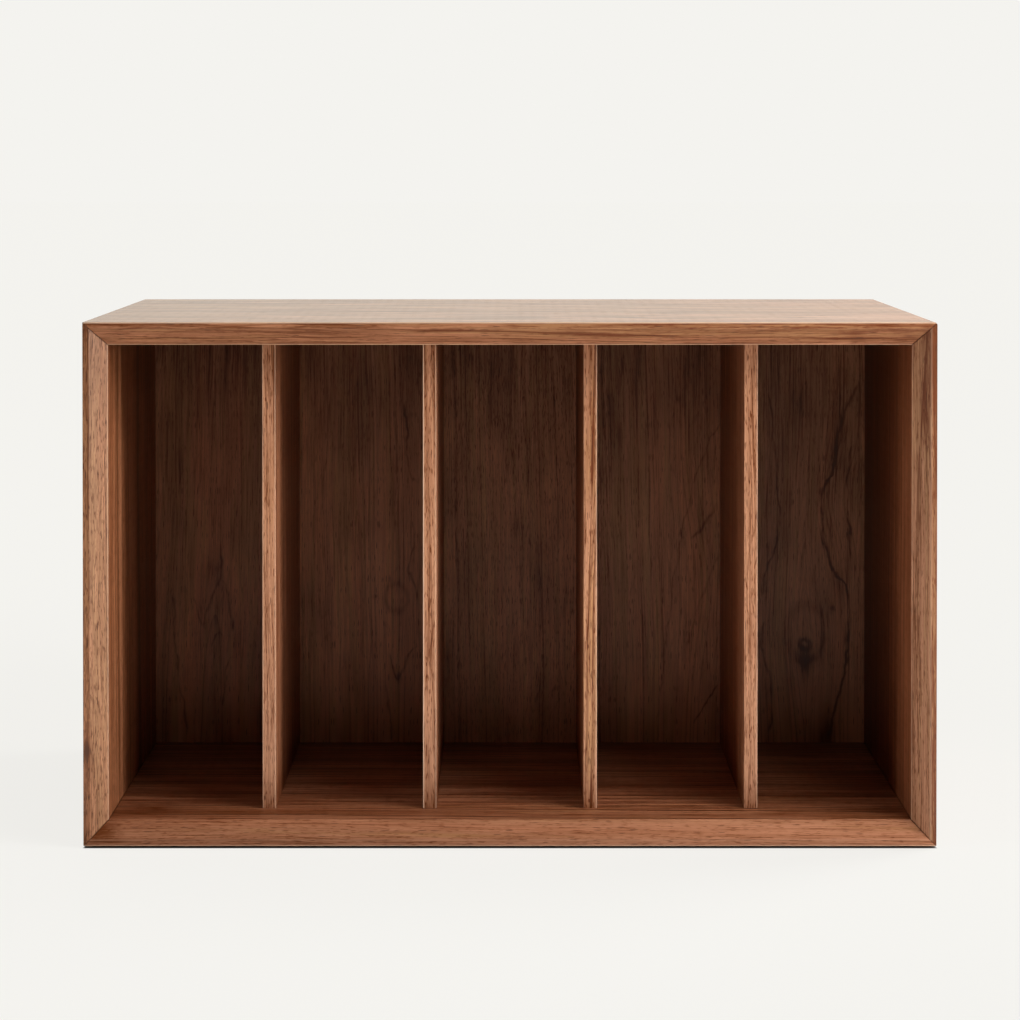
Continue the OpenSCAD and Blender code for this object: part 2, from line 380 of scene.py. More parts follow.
class Graph:
    """Adds nodes to one node tree and joins each to the values that feed it."""

    def __init__(self, tree):
        self.tree = tree

    def node(self, kind, inputs, **settings):
        """A node with its settings, whose inputs take sockets or plain values."""
        made = self.tree.nodes.new(kind)
        for name, value in settings.items():
            setattr(made, name, value)
        for name, value in inputs.items():
            if isinstance(value, bpy.types.NodeSocket):
                self.tree.links.new(value, made.inputs[name])
            else:
                made.inputs[name].default_value = value
        return made

    def math(self, operation, *values):
        """The result of a Math node."""
        return self.node("ShaderNodeMath", dict(enumerate(values)), operation=operation).outputs[0]

    def vector(self, operation, *values):
        """The vector or the length that a Vector Math node gives. A number counts for all three axes."""
        made = self.node("ShaderNodeVectorMath", dict(enumerate(values)), operation=operation)
        return made.outputs["Value" if operation == "LENGTH" else "Vector"]

    def offset(self, place, centre, reach):
        """How far a place is from a centre, divided by the reach on each axis."""
        return self.vector("DIVIDE", self.vector("SUBTRACT", place, centre), reach)

    def bell(self, value):
        """e to the minus value squared."""
        return self.math("EXPONENT", self.math("MULTIPLY", self.math("MULTIPLY", value, value), -1.0))

    def smooth(self, value, low, high, to_low=0.0, to_high=1.0):
        """value carried from low..high to to_low..to_high, easing at both ends."""
        inputs = {"Value": value, "From Min": low, "From Max": high, "To Min": to_low, "To Max": to_high}
        return self.node("ShaderNodeMapRange", inputs, interpolation_type="SMOOTHSTEP").outputs["Result"]

    def noise(self, place, scale, detail=2.0, roughness=0.5, output="Fac"):
        """Noise with a scale for each axis of a place, or along a line where the scale is one number."""
        along_line = isinstance(scale, float)
        inputs = {"W" if along_line else "Vector": (self.math if along_line else self.vector)("MULTIPLY", place, scale)}
        inputs |= {"Scale": 1.0, "Detail": detail, "Roughness": roughness}
        made = self.node("ShaderNodeTexNoise", inputs, noise_dimensions="1D" if along_line else "3D")
        return made.outputs[output]

    def noises(self, place, scale, detail=2.0, roughness=0.5):
        """Three noises, as X, Y and Z."""
        return self.split(self.noise(place, scale, detail, roughness, "Color"))

    def wobble(self, place, scale, size, detail=2.0):
        """A vector that swings about zero with a noise, within half its size."""
        noise = self.noise(place, scale, detail, output="Color")
        return self.vector("MULTIPLY", self.vector("SUBTRACT", noise, MIDDLE), size)

    def split(self, vector):
        """The X, Y and Z of a vector or colour."""
        return self.node("ShaderNodeSeparateXYZ", {0: vector}).outputs

    def swing(self, value, size, onto):
        """onto plus size times how far a value from 0 to 1 is from its middle."""
        return self.math("MULTIPLY_ADD", self.math("SUBTRACT", value, 0.5), size, onto)

    def mix(self, share, first, second, blend="MIX", clamp=True):
        """Two colours mixed."""
        inputs = {0: share, 6: first, 7: second}
        made = self.node("ShaderNodeMix", inputs, data_type="RGBA", blend_type=blend, clamp_factor=clamp)
        return made.outputs[2]

    def group(self, name, make, **inputs):
        """The outputs of a node group, which is made when it is first used. Underscores stand for spaces."""
        tree = bpy.data.node_groups.get(name) or make(name)
        inputs = {label.replace("_", " "): value for label, value in inputs.items()}
        return self.node("ShaderNodeGroup", inputs, node_tree=tree).outputs

    def give(self, **values):
        """Links values to the outputs of a group, and returns the group."""
        result = self.tree.nodes.new("NodeGroupOutput").inputs
        for label, value in values.items():
            self.tree.links.new(value, result[label])
        return self.tree

    def surface(self, colour, roughness, height, strength, depth, **inputs):
        """Gives a material a Principled shader with a bump. Underscores stand for spaces."""
        bump = self.node("ShaderNodeBump", {"Height": height, "Strength": strength, "Distance": depth})
        inputs = {label.replace("_", " "): value for label, value in inputs.items()}
        inputs |= {"Base Color": colour, "Roughness": roughness, "Normal": bump.outputs["Normal"]}
        shader = self.node("ShaderNodeBsdfPrincipled", inputs)
        self.node("ShaderNodeOutputMaterial", {"Surface": shader.outputs[0]})

    def for_camera(self, seen, other):
        """The shader `seen` for the camera's rays, and `other` for the rest."""
        camera_ray = self.node("ShaderNodeLightPath", {}).outputs["Is Camera Ray"]
        shaders = {0: camera_ray, 1: other.outputs[0], 2: seen.outputs[0]}
        return self.node("ShaderNodeMixShader", shaders).outputs[0]


def new_group(name, inputs, outputs):
    """An empty shader group with named sockets: its graph and its inputs."""
    tree = bpy.data.node_groups.new(name, "ShaderNodeTree")
    kinds = {float: "NodeSocketFloat", tuple: "NodeSocketVector", list: "NodeSocketColor"}
    for label, default in inputs.items():
        socket = tree.interface.new_socket(label, in_out="INPUT", socket_type=kinds[type(default)])
        socket.default_value = default
    for label, kind in outputs.items():
        tree.interface.new_socket(label, in_out="OUTPUT", socket_type=kinds[kind])
    return Graph(tree), tree.nodes.new("NodeGroupInput").outputs


def emptied_graph(owner):
    """The graph of a material or world, with no nodes yet."""
    owner.use_nodes = True
    owner.node_tree.nodes.clear()
    return Graph(owner.node_tree)


REDDER = (1.0, 0.78, 0.64, 1.0)
# Colour of the painted highlights along the arrises.
HIGHLIGHT_WOOD = (0.84, 0.57, 0.39, 1.0)
# How many waves to the metre each part of the figure has along the grain, and on the two axes across it.
FAR_BENDS, NEAR_BENDS = (1.6, 6.0, 6.0), (9.0, 45.0, 45.0)
STREAK_WAVES, FIBRE_WAVES, FLECK_WAVES = (9.0, 240.0, 240.0), (15.0, 1150.0, 1150.0), (150.0, 1450.0, 1450.0)
LINE_WAVES, CLOUD_WAVES, PORE_WAVES = (9.0, 420.0, 420.0), (14.0, 38.0, 38.0), (110.0, 1200.0, 1200.0)
RING_WAVES = 55.0
ZONE_WAVES = (1.5, RING_WAVES, 1.0)
# Waves to the metre on X, Y and Z in what makes marks ragged and lines broken, and how far a mark's edge swings.
RAGGED_WAVES, BROKEN_WAVES = (130.0, 130.0, 60.0), (60.0, 60.0, 45.0)
RAGGED_SIZE = (0.007, 0.007, 0.007)
PALEST, DARKEST = 1.4, -0.2  # The range of tones that still change the colour


def make_walnut_figure(name):
    """Walnut as a solid: rings round the pith, streaks and pores along it.

    Place has X along the grain and counts from the pith. The distance from the pith, made wavy, plus a taper along
    the log, is cut into rings of uneven width. Each ring darkens towards its late wood and starts pale again. The tone
    is the sum of all parts, each times its input, and carries the dark wood's colour to that of the pale wood.
    """
    graph, given = new_group(
        name,
        {
            "Place": ORIGIN, "Ring Shift": 0.0, "Ring Width": 0.004, "Wander": 0.006, "Taper": 0.02, "Tone": 0.5,
            "Gold": 0.0, "Red": 0.0, "Worn": 0.0, "Clouds": 0.0, "Zones": 0.9, "Rings": 0.5, "Streaks": 1.0,
            "Fibres": 0.5, "Flecks": 0.5, "Lines": 0.3, "Pores": 0.3, "Lacquer": 0.4,
            "Light Wood": WHITE, "Dark Wood": WHITE, "Golden Wood": WHITE, "Pore": WHITE,
        },
        {"Color": list, "Roughness": float, "Height": float},
    )
    place = given["Place"]
    bends = graph.vector(
        "ADD", graph.wobble(place, FAR_BENDS, (0.0, 4.0, 4.0), 1.0), graph.wobble(place, NEAR_BENDS, (0.0, 0.6, 0.6))
    )
    wandered = graph.vector("ADD", place, graph.vector("MULTIPLY", bends, given["Wander"]))
    along = graph.split(wandered)["X"]
    from_pith = graph.vector("LENGTH", graph.vector("MULTIPLY", wandered, (0.0, 1.0, 1.0)))
    ring_place = graph.math("MULTIPLY_ADD", along, given["Taper"], from_pith)
    ring_place = graph.math("ADD", ring_place, given["Ring Shift"])

    uneven = graph.noise(ring_place, RING_WAVES)
    count = graph.math("MULTIPLY_ADD", uneven, 3.0, graph.math("DIVIDE", ring_place, given["Ring Width"]))
    phase = graph.math("FRACT", count)
    seed = graph.node("ShaderNodeTexWhiteNoise", {"W": graph.math("FLOOR", count)}, noise_dimensions="1D")
    late = graph.math("MULTIPLY", graph.smooth(phase, 0.4, 0.9), graph.smooth(phase, 0.9, 1.0, 1.0, 0.0))
    late = graph.math("MULTIPLY", late, graph.smooth(seed.outputs["Value"], 0.1, 0.9, 0.05, 1.5))

    zone_place = graph.node("ShaderNodeCombineXYZ", {"X": along, "Y": ring_place}).outputs[0]
    zone = graph.noises(zone_place, ZONE_WAVES)
    streak = graph.noises(wandered, STREAK_WAVES, 2.0, 0.6)
    fleck = graph.noise(wandered, FLECK_WAVES, 1.0)
    cloud = graph.noise(wandered, CLOUD_WAVES, 2.0, 0.6)
    line = graph.math("ABSOLUTE", graph.math("SUBTRACT", graph.noise(wandered, LINE_WAVES, 2.0, 0.6), 0.5))
    darker = {
        "Rings": graph.math("MULTIPLY", late, graph.smooth(streak["Y"], 0.3, 0.55, -0.35, -1.0)),
        "Flecks": graph.smooth(fleck, 0.33, 0.44, -1.0, 0.0),
        "Lines": graph.math("MULTIPLY", graph.smooth(line, 0.01, 0.09, -1.0, 0.0), graph.smooth(streak["Z"], 0.4, 0.6)),
    }
    tone = graph.swing(zone["X"], given["Zones"], given["Tone"])
    tone = graph.swing(cloud, given["Clouds"], tone)
    tone = graph.swing(streak["X"], given["Streaks"], tone)
    fibre = graph.smooth(graph.noise(wandered, FIBRE_WAVES, 2.0, 0.7), 0.36, 0.64)
    tone = graph.swing(fibre, given["Fibres"], tone)
    for label, part in darker.items():
        tone = graph.math("MULTIPLY_ADD", part, given[label], tone)
    deep = graph.smooth(tone, -1.1, DARKEST, 0.9, 0.0)
    tone = graph.math("MAXIMUM", graph.math("MINIMUM", tone, PALEST), DARKEST)
    gold = graph.smooth(graph.math("ADD", graph.swing(zone["Y"], 1.0, streak["Y"]), given["Gold"]), 0.42, 0.66)
    pale = graph.mix(gold, given["Light Wood"], given["Golden Wood"])
    wood = graph.mix(tone, given["Dark Wood"], pale, clamp=False)
    wood = graph.mix(graph.swing(zone["Z"], 1.2, given["Red"]), wood, graph.mix(1.0, wood, REDDER, "MULTIPLY"))

    cells = graph.node(
        "ShaderNodeTexVoronoi", {"Vector": graph.vector("MULTIPLY", wandered, PORE_WAVES), "Scale": 1.0}
    ).outputs
    chance = graph.split(cells["Color"])["X"]
    reach = graph.smooth(chance, graph.math("MULTIPLY_ADD", given["Pores"], -0.8, 0.9), 1.0, 0.0, 0.46)
    pore = graph.smooth(graph.math("SUBTRACT", reach, cells["Distance"]), 0.0, 0.2)
    wood = graph.mix(graph.math("MAXIMUM", graph.math("MULTIPLY", pore, 0.75), deep), wood, given["Pore"])
    return graph.give(
        # The painted highlights of the arrises, mixed in over the wood.
        Color=graph.mix(given["Worn"], wood, HIGHLIGHT_WOOD),
        Roughness=graph.swing(streak["Z"], 0.12, graph.math("MULTIPLY_ADD", pore, 0.2, given["Lacquer"])),
        Height=graph.math("MULTIPLY_ADD", pore, -1.0, graph.math("MULTIPLY", streak["X"], 0.5)),
    )


def make_grain_eye(name):
    """Grain that bows round a place: it is pushed aside, and its rings are lifted, most at the centre.

    With the offset from the centre divided by the reach on each axis, the share is e to the minus its length squared.
    """
    graph, given = new_group(
        name,
        {"Place": ORIGIN, "Centre": ORIGIN, "Reach": (0.02, 1.0, 0.04), "Push": ORIGIN, "Lift": 0.0, "Shift": 0.0},
        {"Place": tuple, "Shift": float},
    )
    offset = graph.offset(given["Place"], given["Centre"], given["Reach"])
    share = graph.bell(graph.vector("LENGTH", offset))
    push = graph.vector("MULTIPLY", graph.vector("MULTIPLY", graph.vector("SIGN", offset), given["Push"]), share)
    return graph.give(
        Place=graph.vector("SUBTRACT", given["Place"], push),
        Shift=graph.math("MULTIPLY_ADD", given["Lift"], share, given["Shift"]),
    )


def make_edge_highlight(name):
    """How near a place is to a straight arris, where the wood is painted paler as a highlight.

    Only the offset from the line on the axes of Across counts. The share falls from 1 to 0 over the reach.
    """
    graph, given = new_group(
        name, {"Place": ORIGIN, "Line": ORIGIN, "Across": (0.0, 1.0, 1.0), "Reach": 0.0013}, {"Share": float}
    )
    offset = graph.vector("MULTIPLY", graph.vector("SUBTRACT", given["Place"], given["Line"]), given["Across"])
    near = graph.math("DIVIDE", graph.vector("LENGTH", offset), given["Reach"])
    return graph.give(Share=graph.smooth(near, 0.3, 1.0, 1.0, 0.0))


def make_grain_and_shade_mark(name):
    """A darker or paler mark, filled or ring-shaped, added to a tone: marks in the grain, and painted patches of light
    and shade.

    The offset from the centre is divided by the reach on each axis, and d is the length of that. The mark's share is
    e to the minus ((d - ring) / width) squared.
    """
    graph, given = new_group(
        name,
        {
            "Place": ORIGIN, "Centre": ORIGIN, "Reach": (0.01, 1.0, 0.01), "Ring": 0.0, "Width": 1.0, "Change": -0.5,
            "Tone": 0.5,
        },
        {"Tone": float},
    )
    distance = graph.vector("LENGTH", graph.offset(given["Place"], given["Centre"], given["Reach"]))
    share = graph.bell(graph.math("DIVIDE", graph.math("SUBTRACT", distance, given["Ring"]), given["Width"]))
    return graph.give(Tone=graph.math("MULTIPLY_ADD", share, given["Change"], given["Tone"]))


# Dark lines in the panel's grain: width, strength and the (X, Z) that each passes through, from its foot up.
PANEL_LINES = (
    # First compartment: two arches, and the lines beside them
    (0.001, 0.6, ((-0.2545, 0.1132), (-0.25, 0.128), (-0.2455, 0.1425), (-0.2414, 0.1546), (-0.2385, 0.185))),
    (0.001, 0.6, ((-0.2538, 0.1132), (-0.2585, 0.126), (-0.2621, 0.1396))),
    (0.001, 0.6, ((-0.2297, 0.11), (-0.231, 0.125), (-0.2331, 0.1396), (-0.2414, 0.1546))),
    (0.0011, 0.8, ((-0.2469, 0.0985), (-0.244, 0.106), (-0.2414, 0.111))),
    (0.0011, 0.8, ((-0.238, 0.1057), (-0.2395, 0.109), (-0.2414, 0.111))),
    (0.0009, 0.5, ((-0.2676, 0.0271), (-0.2697, 0.0445), (-0.2734, 0.0668), (-0.2759, 0.0892), (-0.278, 0.1107),
        (-0.2786, 0.1413))),
    (0.0009, 0.5, ((-0.2373, 0.0486), (-0.2353, 0.0751), (-0.2304, 0.0892))),
    # Second: a line that swings round an eye, and a hook below it
    (0.001, 0.7, ((-0.0741, 0.2336), (-0.0799, 0.2371), (-0.0845, 0.2511), (-0.0845, 0.2674), (-0.0862, 0.2837),
        (-0.088, 0.2999))),
    (0.001, 0.6, ((-0.0776, 0.1348), (-0.0787, 0.1464), (-0.0822, 0.1627), (-0.081, 0.1813))),
    (0.0012, 0.8, ((-0.0926, 0.0696), (-0.0868, 0.0813), (-0.081, 0.0952), (-0.0764, 0.0987))),
    (0.001, 0.7, ((-0.0926, 0.0696), (-0.0962, 0.0813), (-0.0997, 0.0929))),
    (0.0009, 0.6, ((-0.0985, 0.0185), (-0.0997, 0.0417), (-0.1043, 0.0673))),
    # Fourth: a hook, and the lines that sweep down to the left
    (0.0018, 0.6, ((0.1488, 0.186), (0.1612, 0.201), (0.1719, 0.219))),
    (0.0018, 0.6, ((0.1488, 0.186), (0.1425, 0.1885), (0.1418, 0.192), (0.1446, 0.197))),
    (0.0012, 0.5, ((0.1463, 0.0974), (0.1535, 0.122), (0.1628, 0.1496), (0.1744, 0.177))),
    (0.0009, 0.6, ((0.152, 0.0337), (0.161, 0.05), (0.172, 0.0668))),
    (0.0008, 0.4, ((0.12, 0.016), (0.128, 0.09), (0.137, 0.16), (0.15, 0.225), (0.175, 0.286))),
    # Fifth: the bold wavy line, and those left of the knot and right of it
    (0.0013, 1.0, ((0.2626, 0.0213), (0.2667, 0.0378), (0.2729, 0.0606), (0.2781, 0.0854), (0.2802, 0.1061),
        (0.2802, 0.1289), (0.2781, 0.1454), (0.2699, 0.1558), (0.2616, 0.1786), (0.2584, 0.2013), (0.2575, 0.2199),
        (0.2616, 0.2354), (0.2667, 0.2406), (0.2699, 0.2655), (0.274, 0.2841), (0.2812, 0.3007), (0.2874, 0.3151))),
    (0.0011, 0.7, ((0.2088, 0.1413), (0.2108, 0.1579), (0.2181, 0.1806), (0.2223, 0.2034), (0.2212, 0.2282),
        (0.2181, 0.2779), (0.2129, 0.3069))),
    (0.001, 0.6, ((0.214, 0.0275), (0.2161, 0.044), (0.215, 0.0689), (0.2108, 0.0854), (0.2078, 0.1061),
        (0.2108, 0.1185))),
    (0.0009, 0.5, ((0.2821, 0.1686), (0.2812, 0.1868), (0.2791, 0.22), (0.284, 0.264))),
)
FADE_OUTSIDE, FADE_INSIDE = 0.001, 0.005  # Where a line fades out, past its ends and before them


def make_panel_lines(name):
    """The lines of PANEL_LINES: each is a smooth curve of X against Z.

    A line's share is e to the minus (distance across / width) squared, and it fades out over the last 6 mm of its ends.
    """
    graph, given = new_group(name, {"Place": ORIGIN}, {"Share": float})
    axes = graph.split(given["Place"])
    darkest = 0.0
    for width, strength, points in PANEL_LINES:
        x, z = np.array(points).T
        left, foot, top, span = float(x.min()), float(z[0]), float(z[-1]), float(np.ptp(x))
        height = graph.node("ShaderNodeMapRange", {"Value": axes["Z"], "From Min": foot, "From Max": top})
        curve = graph.node("ShaderNodeFloatCurve", {"Value": height.outputs["Result"]})
        knots = curve.mapping.curves[0].points
        knots[0].location = (0.0, (x[0] - left) / span)
        knots[1].location = (1.0, (x[-1] - left) / span)
        for place in range(1, len(x) - 1):
            knots.new((z[place] - foot) / (top - foot), (x[place] - left) / span)
        curve.mapping.update()
        line_x = graph.math("MULTIPLY_ADD", curve.outputs["Value"], span, left)
        share = graph.bell(graph.math("DIVIDE", graph.math("SUBTRACT", axes["X"], line_x), width))
        above_foot = graph.smooth(axes["Z"], foot - FADE_OUTSIDE, foot + FADE_INSIDE, 0.0, strength)
        below_top = graph.smooth(axes["Z"], top - FADE_INSIDE, top + FADE_OUTSIDE, 1.0, 0.0)
        share = graph.math("MULTIPLY", graph.math("MULTIPLY", share, above_foot), below_top)
        darkest = graph.math("MAXIMUM", share, darkest)
    broken = graph.smooth(graph.noise(given["Place"], BROKEN_WAVES), 0.36, 0.56, 0.5, 1.0)
    return graph.give(Share=graph.math("MULTIPLY", darkest, broken))


def make_mitre_seam(name):
    """The joint line at the corners of a frame: places as far in from the frame's end as from its top or bottom."""
    graph, given = new_group(
        name, {"Place": ORIGIN, "Centre": ORIGIN, "Half": (0.3, 0.2, 0.2), "Width": 0.0007}, {"Share": float}
    )
    inward = graph.vector("ABSOLUTE", graph.vector("SUBTRACT", given["Place"], given["Centre"]))
    inward = graph.split(graph.vector("SUBTRACT", given["Half"], inward))
    apart = graph.math("ABSOLUTE", graph.math("SUBTRACT", inward["X"], inward["Z"]))
    return graph.give(Share=graph.smooth(apart, 0.0002, given["Width"], 1.0, 0.0))


def spots(y, labels, rows):
    """Settings of grain eyes or marks at the depth y, from rows of X, Z, reach in X, reach in Z and the labels."""
    return [
        {"Centre": (x, y, z), "Reach": (wide, 1.0, high), **dict(zip(labels, values))}
        for x, z, wide, high, *values in rows
    ]


def walnut(
    name, pith, along, upright, eyes=(), steps=(), outside=None, marks=(), lines=0.0, worn=(), mitre=0.0, gloss=0.25,
    sheen=0.0, **look,
):
    """A lacquered walnut board. look holds inputs of the walnut figure.

    The pith runs along the grain through the place `pith`. `along` starts the pattern at another place along the log.
    eyes are settings of grain eyes, and marks are settings of marks, both in the grain and painted patches of light and
    shade. steps are changes of inputs of the figure across the board, as ((axis, from, to), changes); some of them
    paint light and shade. Those on Y fade out towards a board's outer face, where outside gives it as (axis, from, to).
    lines is how dark the panel's lines are. The arrises that get a painted highlight are given as (a point of its line,
    how bright the highlight is). mitre is how much darker the joint line is. gloss is the lacquer's specular level, and
    sheen the weight of a clear coat.
    """
    finish = bpy.context.scene.stand_finish
    for label in ("Light_Wood", "Dark_Wood", "Golden_Wood", "Pore"):
        look.setdefault(label, tuple(getattr(finish, label.lower())))
    material = bpy.data.materials.new(name)
    graph = emptied_graph(material)
    board_place = place = graph.node("ShaderNodeTexCoord", {}).outputs["Object"]
    axes = graph.split(place)
    shift = 0.0
    for eye in eyes:
        moved = graph.group("Grain eye", make_grain_eye, Place=place, Shift=shift, **eye)
        place, shift = moved["Place"], moved["Shift"]
    x, y, z = pith
    turned = {"Rotation": (0.0, math.pi / 2 if upright else 0.0, 0.0), "Location": (along, -y, x if upright else -z)}
    place = graph.node("ShaderNodeMapping", {"Vector": place, **turned}).outputs["Vector"]
    inside = graph.smooth(axes[outside[0]], *outside[1:], 1.0, 0.0) if outside else 1.0
    for (axis, low, high), changes in steps:
        share = graph.smooth(axes[axis], low, high)
        if axis == "Y":
            share = graph.math("MULTIPLY", share, inside)
        for label, change in changes.items():
            look[label] = graph.math("MULTIPLY_ADD", share, change, look.get(label, 0.0))
    tone = look.pop("Tone")
    ragged = graph.vector("ADD", board_place, graph.wobble(board_place, RAGGED_WAVES, RAGGED_SIZE))
    for mark in marks:
        tone = graph.group("Grain mark", make_grain_and_shade_mark, Place=ragged, Tone=tone, **mark)["Tone"]
    if lines:
        drawn = graph.group("Panel lines", make_panel_lines, Place=ragged)["Share"]
        tone = graph.math("MULTIPLY_ADD", drawn, -lines, tone)
    if mitre:
        ends = {"Centre": tuple(CASE_CENTRE), "Half": tuple(CASE_HALF)}
        seam = graph.group("Mitre seam", make_mitre_seam, Place=board_place, **ends)["Share"]
        tone = graph.math("MULTIPLY_ADD", seam, -mitre, tone)
    across = (1.0, 1.0, 0.0) if upright else (0.0, 1.0, 1.0)
    # The painted highlights of the arrises.
    highlighted = 0.0
    for line, most in worn:
        share = graph.group("Worn edge", make_edge_highlight, Place=board_place, Line=line, Across=across)["Share"]
        highlighted = graph.math("MULTIPLY_ADD", share, most, highlighted)
    look |= {"Place": place, "Ring_Shift": shift, "Tone": tone, "Worn": highlighted, "Lacquer": finish.lacquer}
    wood = graph.group("Walnut figure", make_walnut_figure, **look)
    graph.surface(
        wood["Color"], wood["Roughness"], wood["Height"], strength=0.5, depth=0.0001, Specular_IOR_Level=gloss,
        Coat_Weight=sheen, Coat_Roughness=0.2,
    )
    return material


MOTTLED = (0.3, 0.7)  # The part of a noise that mottles a finish


def small_part(name, waves, colours, roughness, depth, **inputs):
    """A finish for a small part, mottled by a fine noise between two colours and two values of roughness."""
    material = bpy.data.materials.new(name)
    graph = emptied_graph(material)
    place = graph.node("ShaderNodeTexCoord", {}).outputs["Object"]
    mottle = graph.noises(place, waves, 3.0, 0.6)
    blend = graph.mix(graph.smooth(mottle["X"], *MOTTLED), *colours)
    rough = graph.smooth(mottle["Y"], *MOTTLED, *roughness)
    graph.surface(blend, rough, mottle["Z"], strength=0.6, depth=depth, **inputs)
    return material


def shaded(colour_value, factor):
    """A colour made darker or paler."""
    return tuple(min(channel * factor, 1.0) for channel in colour_value[:3]) + (1.0,)


def dress(node, material):
    """Gives a CAD piece that keeps its own mesh its material."""
    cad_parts[node].data.materials.clear()
    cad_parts[node].data.materials.append(material)


CRISP = 0.0001  # Half the width of a crisp step
MARK = ("Change", "Ring", "Width")  # What follows the place and the reach in the row of a mark


